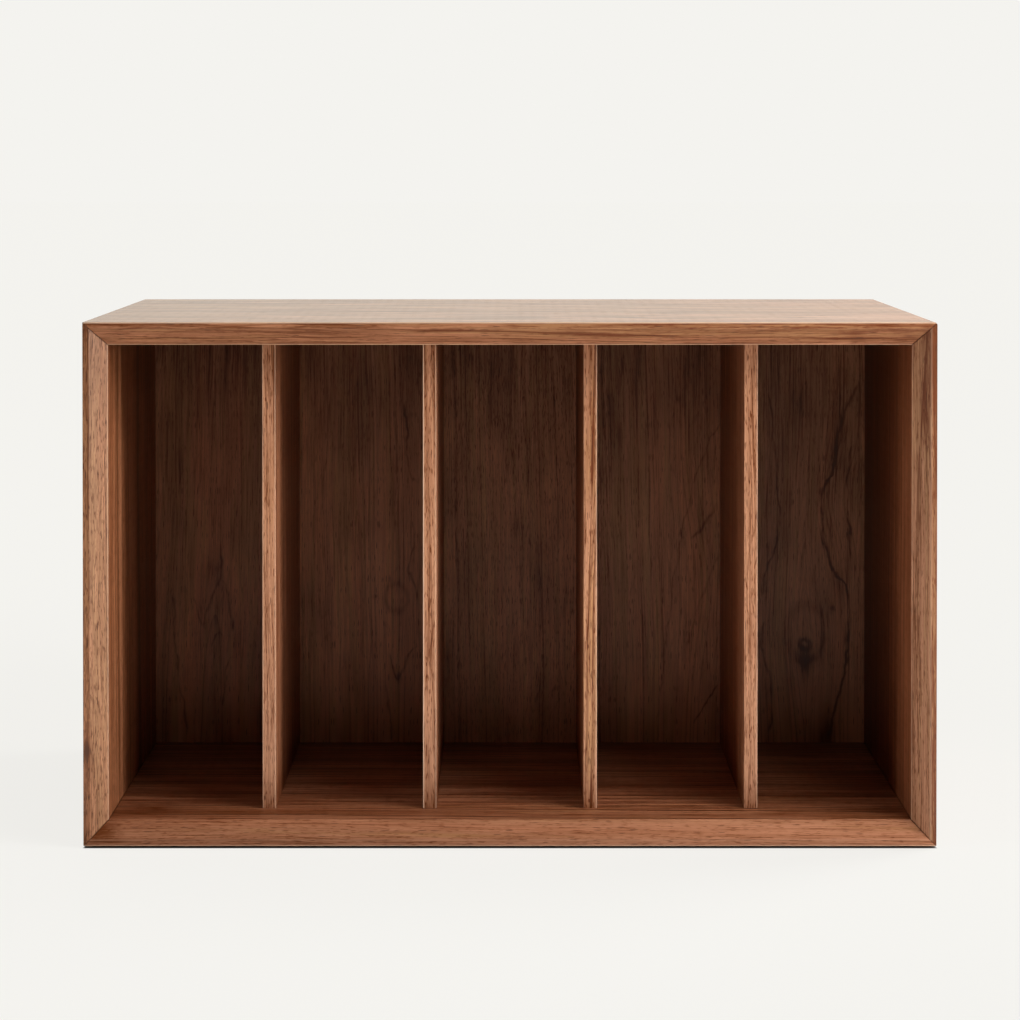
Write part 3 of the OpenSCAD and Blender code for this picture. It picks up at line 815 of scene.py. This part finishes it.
def case_woods(sizes):
    """The walnut of each board of the case. Its flat, bevel, inner face and outer face differ in tone and figure."""
    front, bevel_end, flat = CASE_LOW.y, CASE_LOW.y + sizes.bevel_depth, sizes.front_flat
    top, right, left_flat_end, right_flat_end = CASE_HIGH.z, CASE_HIGH.x, CASE_LOW.x + flat, CASE_HIGH.x - flat
    behind = ("Y", bevel_end, bevel_end + 0.002)
    well_behind = ("Y", bevel_end, bevel_end + 0.01)
    # Painted shade under the top board: the upper part of a side board is made darker.
    top_shade_band = ("Z", 0.27, 0.36)
    top_flat = ("Z", top - flat - CRISP, top - flat + CRISP)
    right_flat = ("X", right_flat_end - CRISP, right_flat_end + CRISP)
    right_face = ("X", right - 0.0004, right - CRISP)
    return {
        "top_board": walnut(
            "top walnut", (0.0, -0.12, 0.31), 3.1, False, mitre=0.8, sheen=0.15,
            # Painted highlights on the front arris and on the inner edge of the bevel.
            worn=[((0.0, front, top), 0.65), ((0.0, bevel_end, CEILING_Z), 0.4)],
            steps=[
                (top_flat, {"Tone": -0.06}),
                # Painted highlight at the top front arris, with a painted dark line on the flat just under it; the top
                # face is made paler again with it.
                (("Z", top - 0.002, top - 0.0014), {"Tone": -0.12}),
                (("Z", top - 0.0008, top - CRISP), {"Tone": 0.14}),
                (("Z", top - 0.0006, top - CRISP), {"Zones": 0.9, "Clouds": 1.2}),
            ],
            marks=spots(front, MARK, [(0.27, 0.372, 0.02, 0.006, -0.25, 1.0, 0.3)]),
            Tone=0.42, Taper=0.03, Zones=0.5, Rings=0.5, Streaks=0.6, Fibres=0.5, Flecks=0.3, Lines=0.3,
        ),
        "bottom_board": walnut(
            "bottom walnut", (0.0, -0.26, -0.05), 7.7, False, mitre=0.8,
            # Painted highlights on the bottom front arris and on the arris between the flat and the bevel.
            worn=[((0.0, front, CASE_LOW.z), 0.4), ((0.0, front, CASE_LOW.z + flat), 0.06)],
            steps=[
                # Painted light and shade: paler towards the right, where the key light comes from.
                (("X", -INNER_X, INNER_X), {"Tone": 0.12}),
                (("Y", bevel_end, bevel_end + 0.001), {"Tone": -0.1}),
                # Painted light and shade on the compartments' floors: paler from a little way in, and darker towards
                # the back panel.
                (("Y", -0.17, -0.11), {"Tone": 0.22}),
                (("Y", 0.02, 0.1), {"Tone": -0.2}),
                (behind, {"Red": 0.35, "Zones": 1.1, "Rings": 1.3, "Lines": 0.4}),
            ],
            marks=spots(front, MARK, [(-0.297, 0.011, 0.012, 0.006, -0.55)]) + [
                # Painted light on the floor of the second compartment, and painted shade on that of the fifth.
                {"Centre": (-0.11, -0.06, FLOOR_Z), "Reach": (0.09, 0.07, 0.01), "Change": 0.2},
                {"Centre": (0.26, -0.05, FLOOR_Z), "Reach": (0.07, 0.12, 0.01), "Change": -0.25},
            ],
            Light_Wood=(0.58, 0.264, 0.145, 1.0),
            Tone=0.38, Gold=-0.1, Zones=0.4, Rings=0.15, Streaks=0.3, Fibres=0.25, Flecks=0.35, Lines=0.25,
        ),
        "left_side": walnut(
            "left walnut", (-0.34, -0.24, 0.0), 12.3, True, mitre=0.8, gloss=0.35,
            # Painted highlight on the inner edge of the bevel.
            worn=[((-INNER_X, bevel_end, 0.0), 0.35)],
            steps=[
                # Paler and less red from the bevel inwards; on the bevel this is a painted sheen of the key light.
                (("X", left_flat_end + 0.0002, left_flat_end + 0.0005), {"Tone": 0.22, "Red": -0.45}),
                # Painted shade higher up.
                (top_shade_band, {"Tone": -0.22}),
                (behind, {"Tone": -0.06, "Gold": -0.3, "Red": 0.8, "Ring_Width": 0.008, "Rings": 0.7}),
                (("Y", -0.14, -0.06), {"Red": 0.4}),
                (well_behind, {"Zones": 0.9}),
            ],
            marks=spots(front, MARK, [(-0.3075, 0.071, 0.0016, 0.006, -1.3)]),
            Light_Wood=(0.62, 0.3, 0.16, 1.0), Golden_Wood=(0.56, 0.3, 0.15, 1.0), Dark_Wood=(0.23, 0.095, 0.04, 1.0),
            Tone=0.28, Gold=0.1, Red=0.45, Ring_Width=0.004, Zones=0.4, Rings=0.2, Streaks=0.25, Fibres=0.45,
            Flecks=0.9, Lines=0.3, Wander=0.008,
        ),
        "right_side": walnut(
            "right walnut", (0.25, -0.33, 0.0), 17.9, True, mitre=0.8, outside=("X", right - 0.0006, right - 0.0002),
            # Painted highlights on the arris between the flat and the bevel, and on the inner edge of the bevel.
            worn=[((right_flat_end, front, 0.0), 0.12), ((INNER_X, bevel_end, 0.0), 0.2)],
            steps=[
                (right_flat, {"Tone": -0.45, "Red": -0.4, "Gold": 0.25}),
                # Painted shade along the outer right arris.
                (("X", right - 0.0012, right - 0.0004), {"Tone": -0.3}),
                (right_face, {"Tone": 0.2, "Zones": 0.6, "Fibres": -0.15}),
                # Painted shade on the inner face, deepening towards the back; the inner face also has more zones in its
                # figure.
                (well_behind, {"Tone": -0.25, "Zones": 0.9}),
                (("Y", -0.12, 0.08), {"Tone": -0.5}),
                # Painted shade higher up.
                (top_shade_band, {"Tone": -0.2}),
                # Painted shade towards the foot.
                (("Z", 0.2, 0.05), {"Tone": -0.08}),
                (behind, {"Gold": -0.35, "Red": 1.0, "Ring_Width": 0.006, "Rings": 0.6}),
            ],
            Light_Wood=(0.55, 0.268, 0.152, 1.0), Golden_Wood=(0.51, 0.277, 0.14, 1.0),
            Dark_Wood=(0.21, 0.08, 0.034, 1.0), Tone=0.66, Zones=0.3, Rings=0.4, Ring_Width=0.0045, Streaks=0.12,
            Fibres=0.5, Flecks=0.45, Lines=0.45,
        ),
    }


# Where the panel's grain bows: X, Z, reach in X, reach in Z, lift and push.
PANEL_EYES = (
    # First compartment: arches
    (-0.2417, 0.19, 0.03, 0.05, 0.01),
    # Fourth: grain that sweeps round its right edge
    (0.17, 0.15, 0.03, 0.07, -0.014),
    # Fifth: grain that parts for a knot, and bows above it
    (0.2442, 0.1024, 0.03, 0.05, 0.0, (0.006, 0.0, 0.0)),
    (0.268, 0.222, 0.03, 0.04, 0.012),
)
# Darker and paler places in the panel: X, Z, reach in X, reach in Z, change of tone, and a ring's size and width.
PANEL_MARKS = (
    # Paler wood in the second compartment and the fourth, darker in the fifth
    (-0.12, 0.16, 0.05, 0.2, 0.12),
    (0.12, 0.16, 0.05, 0.2, 0.12),
    (0.24, 0.2, 0.05, 0.2, -0.1),
    # First: the dark heart of the arches, and painted shade at the foot of the panel
    (-0.2405, 0.14, 0.012, 0.07, -0.25),
    (-0.2297, 0.1148, 0.0015, 0.004, -0.7),
    (-0.25, 0.03, 0.06, 0.05, -0.2),
    # Second: an eye, a smudge and a pin
    (-0.0938, 0.1394, 0.0085, 0.012, -0.4, 1.0, 0.25),
    (-0.0938, 0.1394, 0.0035, 0.005, 0.15),
    (-0.0926, 0.0735, 0.0035, 0.005, -0.7),
    (-0.11, 0.139, 0.0012, 0.0015, -0.7),
    # Third: two dark bands
    (0.0257, 0.19, 0.004, 0.2, -0.3),
    (-0.0347, 0.2, 0.004, 0.2, -0.25),
    # Fifth: dark clouds on the bold line, and the knot with a horseshoe, a wedge and a wider ring
    (0.2705, 0.262, 0.007, 0.03, -0.5),
    (0.2725, 0.152, 0.007, 0.013, -0.4),
    (0.262, 0.024, 0.007, 0.014, -0.5),
    (0.2663, 0.1297, 0.0025, 0.0035, -0.6),
    (0.2438, 0.0995, 0.0042, 0.0045, -0.8, 0.85, 0.5),
    (0.2438, 0.0955, 0.005, 0.004, -0.4),
    (0.2446, 0.0885, 0.0065, 0.0055, -0.8),
    (0.2446, 0.0805, 0.004, 0.009, -0.8),
    (0.2443, 0.1095, 0.0155, 0.0235, -0.38, 1.0, 0.2),
    (0.2443, 0.107, 0.013, 0.02, -0.15),
)


def panel_wood():
    """The walnut of the back panel, with painted shade near its top and its foot, and plainer at the foot."""
    front = PANEL_LOW.y
    return walnut(
        "back panel walnut", (-0.2417, front + 0.01, 0.0), 40.0, True, lines=1.15,
        eyes=spots(front, ("Lift", "Push"), PANEL_EYES),
        marks=spots(front, MARK, PANEL_MARKS),
        steps=[
            # Painted shade near the top, under the top board, and near the foot.
            (("Z", 0.21, 0.345), {"Tone": -0.4}),
            (("Z", 0.09, 0.02), {"Tone": -0.33}),
            (("X", -0.06, -0.18), {"Red": 0.3}),
            (("X", -0.07, -0.04), {"Flecks": 0.3}),
            (("X", 0.06, 0.09), {"Flecks": -0.3}),
            (("Z", 0.1, 0.02), {"Fibres": -0.35, "Flecks": -0.3, "Lines": -0.5}),
        ],
        Light_Wood=(0.6, 0.248, 0.12, 1.0), Golden_Wood=(0.52, 0.236, 0.101, 1.0),
        Tone=0.95, Gold=-0.02, Clouds=1.1, Taper=0.01, Ring_Width=0.0035, Wander=0.007, Zones=0.9, Rings=0.3,
        Streaks=0.5, Fibres=0.35, Flecks=0.3, Lines=0.45,
    )


# Each divider's look, from the left: its pith, where its pattern starts along the log, its tone, how much darker its
# sides are than its edge, how much painted shade darkens it higher up, and how bright the painted highlight on its
# left arris is.
DIVIDER_LOOKS = (
    ((-0.25, -0.16, 0.0), 21.0, 0.84, 0.2, 0.05, 0.35),
    ((-0.12, -0.18, 0.0), 24.3, 0.74, 0.1, 0.05, 0.8),
    ((0.1, -0.165, 0.0), 28.1, 0.9, 0.32, 0.3, 0.1),
    ((0.14, -0.2, 0.0), 33.9, 0.84, 0.23, 0.05, 0.05),
)
# How bright the painted highlight on each divider's right arris is.
RIGHT_HIGHLIGHT = 0.35


def divider_wood(node, pith, along, tone, darker_sides, top_shade, left_highlight):
    """The walnut of one divider."""
    low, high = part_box(node)
    return walnut(
        node + " walnut", pith, along, True,
        # Painted highlights on the two front arrises.
        worn=[((low.x, low.y, 0.0), left_highlight), ((high.x, low.y, 0.0), RIGHT_HIGHLIGHT)],
        steps=[
            (("Y", low.y + 0.0004, low.y + 0.0016), {"Tone": -darker_sides, "Red": 0.35, "Zones": 0.8}),
            # Painted shade at the foot, and higher up under the top board.
            (("Z", FLOOR_Z + 0.03, FLOOR_Z), {"Tone": -0.5}),
            (("Z", 0.18, 0.3), {"Tone": -top_shade}),
        ],
        Light_Wood=(0.59, 0.285, 0.157, 1.0),
        Tone=tone, Gold=-0.22, Zones=0.3, Streaks=0.15, Fibres=0.4, Flecks=0.65, Lines=0.6,
    )


# ---------------------------------------------------------------- operators


class STAND_OT_case(bpy.types.Operator):
    """Make the four mitred boards of the case"""

    bl_idname = "stand.case"
    bl_label = "Case boards"

    def execute(self, context):
        sizes = context.scene.stand_sizes
        radii = {TOP: sizes.top_corner, BOTTOM: sizes.bottom_corner}
        for node, wood in case_woods(sizes).items():
            across = node in ("top_board", "bottom_board")
            edge = TOP if node in ("top_board", "right_side") else BOTTOM
            piece = solid_piece(node, "_wood", board_rings(sizes, edge, across))
            part = node.split("_")[0]
            cutters = [spline_slot(sizes, name) for name in SPLINE_NAMES if part in name]
            if across:
                cutters += [housing(sizes, name, edge) for name in DIVIDER_NAMES]
            sides, edges = ((LEFT, RIGHT), (edge,)) if across else ((edge,), (BOTTOM, TOP))
            cutters += [corner_rounder(radii[end], side, end) for side in sides for end in edges]
            cut(piece, cutters)
            finish_piece(piece, wood, node)
        return {"FINISHED"}


class STAND_OT_splines(bpy.types.Operator):
    """Finish the splines inside the mitres"""

    bl_idname = "stand.splines"
    bl_label = "Mitre splines"

    def execute(self, context):
        pale = context.scene.stand_finish.pale_wood
        wood = walnut(
            "spline wood", (0.2, 0.0, 0.5), 1.0, False, Light_Wood=shaded(pale, 1.1), Golden_Wood=tuple(pale),
            Dark_Wood=shaded(pale, 0.55), Pore=shaded(pale, 0.35),
            Tone=0.7, Zones=0.3, Rings=0.4, Streaks=0.4, Flecks=0.2,
        )
        for name in SPLINE_NAMES:
            dress(name, wood)
        return {"FINISHED"}


class STAND_OT_dividers(bpy.types.Operator):
    """Make the upright dividers with their tongues"""

    bl_idname = "stand.dividers"
    bl_label = "Dividers"

    def execute(self, context):
        sizes = context.scene.stand_sizes
        for node, look in zip(DIVIDER_NAMES, DIVIDER_LOOKS):
            low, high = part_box(node)
            tongue_y = low.y + sizes.tongue_setback
            corners = [
                (low.y, FLOOR_Z), (tongue_y, FLOOR_Z), (tongue_y, low.z), (high.y, low.z),
                (high.y, high.z), (tongue_y, high.z), (tongue_y, CEILING_Z), (low.y, CEILING_Z),
            ]
            outline, normals = rounded_outline(corners, sizes.seam)
            rings = carried_solid(outline, normals, low.x, high.x, sizes.divider_arris)
            piece = solid_piece(node, "_wood", np.roll(rings, 1, axis=2))
            cut(piece, screw_holes(sizes, node))
            finish_piece(piece, divider_wood(node, *look), node)
        return {"FINISHED"}


class STAND_OT_back_panel(bpy.types.Operator):
    """Make the recessed back panel"""

    bl_idname = "stand.back_panel"
    bl_label = "Back panel"

    def execute(self, context):
        sizes = context.scene.stand_sizes
        low, high = PANEL_LOW, PANEL_HIGH
        corners = [(low.x, low.z), (high.x, low.z), (high.x, high.z), (low.x, high.z)]
        outline, normals = rounded_outline(corners, sizes.seam)
        rim = 0.9 * sizes.seam  # Smaller than the corners' radius, so that no corner shrinks to a point
        rings = carried_solid(outline, normals, low.y, high.y, rim)
        piece = solid_piece("back_panel", "_wood", rings[..., [0, 2, 1]])
        cut(piece, [hole for name in DIVIDER_NAMES for hole in screw_holes(sizes, name)])
        finish_piece(piece, panel_wood(), "back_panel")
        return {"FINISHED"}


class STAND_OT_screws(bpy.types.Operator):
    """Finish the screws behind the back panel"""

    bl_idname = "stand.screws"
    bl_label = "Screws"

    def execute(self, context):
        steel = context.scene.stand_finish.steel
        colours = (shaded(steel, 0.8), tuple(steel))
        plate = small_part("zinc plate", (900.0, 900.0, 900.0), colours, (0.28, 0.45), 0.00003, Metallic=1.0)
        dress("back_screws", plate)
        return {"FINISHED"}


class STAND_OT_pads(bpy.types.Operator):
    """Make the felt pads under the case"""

    bl_idname = "stand.pads"
    bl_label = "Pads"

    def execute(self, context):
        edge, fibre = context.scene.stand_sizes.pad_edge, context.scene.stand_finish.felt
        felt = small_part(
            "felt", (1500.0, 1500.0, 2500.0), (shaded(fibre, 0.6), shaded(fibre, 1.6)), (0.9, 1.0), 0.0003,
            Sheen_Weight=0.4, Sheen_Roughness=0.6,
        )
        for node in PAD_NAMES:
            low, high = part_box(node)
            turn = np.linspace(-math.pi / 2, math.pi / 2, ARC_POINTS)
            level = np.where(turn < 0, low.z + edge, high.z - edge) + edge * np.sin(turn)
            profile = np.column_stack([level, (high.x - low.x) / 2 - edge + edge * np.cos(turn)])
            rings = turned_solid(profile, ((low.x + high.x) / 2, (low.y + high.y) / 2), PAD_STEPS)
            finish_piece(solid_piece(node, "_felt", rings[..., [0, 2, 1]]), felt, node)
        return {"FINISHED"}


# Name, degrees to the right of the camera and up as seen from the middle of the front, distance, width and watts.
LAMPS = (
    ("key", 68.0, 20.0, 1.4, 0.7, 16.8),
    ("front key", 45.0, 40.0, 1.4, 0.7, 5.8),
    ("rear right", 120.0, 35.0, 1.6, 0.8, 14.0),
    ("left fill", -65.0, 45.0, 1.6, 0.8, 3.0),
    ("low left fill", -65.0, 15.0, 1.6, 0.8, 3.8),
    ("front fill", 0.0, 35.0, 2.0, 0.9, 1.1),
)
# A lamp on the floor before the front, for the light that real paper throws up.
BOUNCE_PLACE, BOUNCE_SIZE, BOUNCE_WATTS = Vector((0.0, -0.44, 0.001)), (0.9, 0.32), 0.85
FLOOR_HALF = 40.0
CLIP_END = 200.0


def lamp(name, place, way, shape, size, power):
    """An area light that the camera doesn't see."""
    light = bpy.data.lights.new(name, "AREA")
    light.shape = shape
    light.size, light.size_y = size
    light.energy = power
    lit = bpy.data.objects.new(name, light)
    bpy.context.scene.collection.objects.link(lit)
    lit.location = place
    lit.rotation_euler = way.to_track_quat("-Z", "Y").to_euler()
    lit.visible_camera = False


class STAND_OT_stage(bpy.types.Operator):
    """Make the floor, the lights and the camera"""

    bl_idname = "stand.stage"
    bl_label = "Stage"

    def execute(self, context):
        studio = context.scene.stand_studio
        scene = context.scene
        scene.view_settings.view_transform = "Standard"
        camera = bpy.data.objects.new("camera", bpy.data.cameras.new("camera"))
        scene.collection.objects.link(camera)
        camera.location = studio.camera_place
        camera.rotation_euler = (math.pi / 2 - studio.camera_dip, 0.0, 0.0)
        camera.data.lens = studio.lens
        camera.data.shift_x, camera.data.shift_y = studio.shift
        camera.data.clip_end = CLIP_END
        scene.camera = camera

        corners = [(x * FLOOR_HALF, y * FLOOR_HALF, 0) for x, y in ((-1, -1), (1, -1), (1, 1), (-1, 1))]
        mesh = bpy.data.meshes.new("floor")
        mesh.from_pydata(corners, [], [(0, 1, 2, 3)])
        floor = piece_object("floor", mesh)
        floor.data.materials.append(paper_floor(studio))
        scene.world = studio_world(studio)

        middle = Vector((0.0, CASE_LOW.y, (CASE_LOW.z + CASE_HIGH.z) / 2))
        for name, right, up, distance, width, power in LAMPS:
            right, up = math.radians(right), math.radians(up)
            level = math.cos(up)
            away = distance * Vector((math.sin(right) * level, -math.cos(right) * level, math.sin(up)))
            lamp(name, middle + away, -away, "ELLIPSE", (width, width), power)
        lamp("bounce", BOUNCE_PLACE, Vector((0.0, 0.0, 1.0)), "RECTANGLE", BOUNCE_SIZE, BOUNCE_WATTS)
        return {"FINISHED"}


# How the lamps and the room light open paper: an even part, and pools as (strength, middle, spread) in metres.
EVEN_LIGHT = 0.23
LIGHT_POOLS = (
    (0.67, (-0.15, -0.53), (1.15, 1.72)),
    (1.16, (0.91, -0.76), (0.69, 0.62)),
    (0.97, (0.9, 0.14), (0.71, 0.95)),
    # The case's shade on the paper before it, which the glow fills in with painted light.
    (-0.3, (0.0, -0.3), (0.5, 0.4)),
)
PLAIN_PAPER = (0.8, 0.79, 0.76, 1.0)
ROOM_COLOUR = (1.0, 0.965, 0.85, 1.0)
# The glow's edge at the foot of the case is also the edge of its painted shadow.
SHADE_EDGE = 0.001  # Half the width of the edge of the glow at the foot of the case


def paper_floor(studio):
    """Pale paper that keeps the shadows.

    What the camera sees is mostly a glow, which is left out under the case as a painted shadow, and the rest is shaded
    by the lights. The glow falls by as much as the lights give to open paper, an even light and a few pools, each a
    bell-shaped hump; the last pool lifts it as painted light where the case shades the paper before it. Other rays
    meet plain white paper.
    """
    paper, share = tuple(studio.paper), studio.paper_shade
    material = bpy.data.materials.new("paper")
    graph = emptied_graph(material)
    place = graph.node("ShaderNodeTexCoord", {}).outputs["Object"]
    offset = graph.vector("ABSOLUTE", graph.vector("SUBTRACT", place, (*CASE_CENTRE.xy, 0.0)))
    outside = graph.split(graph.vector("SUBTRACT", offset, (*CASE_HALF.xy, 0.0)))
    # Painted shadow: the glow is left out under the case, so the gap beneath it shows dark.
    open_floor = graph.smooth(graph.math("MAXIMUM", outside["X"], outside["Y"]), -SHADE_EDGE, SHADE_EDGE)
    light = EVEN_LIGHT
    for strength, middle, spread in LIGHT_POOLS:
        away = graph.vector("LENGTH", graph.offset(place, (*middle, 0.0), (*spread, 1.0)))
        light = graph.math("MULTIPLY_ADD", graph.bell(away), strength, light)
    strength = graph.math("MULTIPLY", open_floor, graph.math("MULTIPLY_ADD", light, -share, 1.0))
    glow = graph.node("ShaderNodeEmission", {"Color": paper, "Strength": strength})
    shade = graph.node("ShaderNodeBsdfDiffuse", {"Color": shaded(paper, share)})
    both = graph.node("ShaderNodeAddShader", {0: glow.outputs[0], 1: shade.outputs[0]})
    bounce = graph.node("ShaderNodeBsdfDiffuse", {"Color": PLAIN_PAPER})
    graph.node("ShaderNodeOutputMaterial", {"Surface": graph.for_camera(both, bounce)})
    return material


def studio_world(studio):
    """Pale paper behind everything for the camera, and for the rest a room that glows behind the stand.

    The room's brightness in a direction is the back glow times the square of its Y, where that is positive.
    """
    world = bpy.data.worlds.new("studio")
    graph = emptied_graph(world)
    way = graph.node("ShaderNodeTexCoord", {}).outputs["Generated"]
    back = graph.math("MAXIMUM", graph.split(way)["Y"], 0.0)
    glow = graph.math("MULTIPLY", graph.math("MULTIPLY", back, back), studio.back_glow)
    room = graph.node("ShaderNodeBackground", {"Color": ROOM_COLOUR, "Strength": glow})
    seen = graph.node("ShaderNodeBackground", {"Color": tuple(studio.paper), "Strength": 1.0})
    graph.node("ShaderNodeOutputWorld", {"Surface": graph.for_camera(seen, room)})
    return world


class STAND_PT_panel(bpy.types.Panel):
    """Lists the steps that build the stand"""

    bl_idname = "STAND_PT_panel"
    bl_label = "Record Stand"
    bl_space_type = "VIEW_3D"
    bl_region_type = "UI"
    bl_category = "Record Stand"

    def draw(self, context):
        for step in STEPS:
            self.layout.operator(step.bl_idname)


STEPS = (
    STAND_OT_case,
    STAND_OT_splines,
    STAND_OT_dividers,
    STAND_OT_back_panel,
    STAND_OT_screws,
    STAND_OT_pads,
    STAND_OT_stage,
)
SETTINGS = {"stand_sizes": StandSizes, "stand_finish": StandFinish, "stand_studio": StudioSettings}


def register():
    for kind in (*SETTINGS.values(), *STEPS, STAND_PT_panel):
        bpy.utils.register_class(kind)
    for name, kind in SETTINGS.items():
        setattr(bpy.types.Scene, name, bpy.props.PointerProperty(type=kind))


def unregister():
    for name in SETTINGS:
        delattr(bpy.types.Scene, name)
    for kind in reversed((*SETTINGS.values(), *STEPS, STAND_PT_panel)):
        bpy.utils.unregister_class(kind)


def main():
    register()
    bpy.ops.stand.case()
    bpy.ops.stand.splines()
    bpy.ops.stand.dividers()
    bpy.ops.stand.back_panel()
    bpy.ops.stand.screws()
    bpy.ops.stand.pads()
    bpy.ops.stand.stage()


if __name__ == "__main__":
    main()
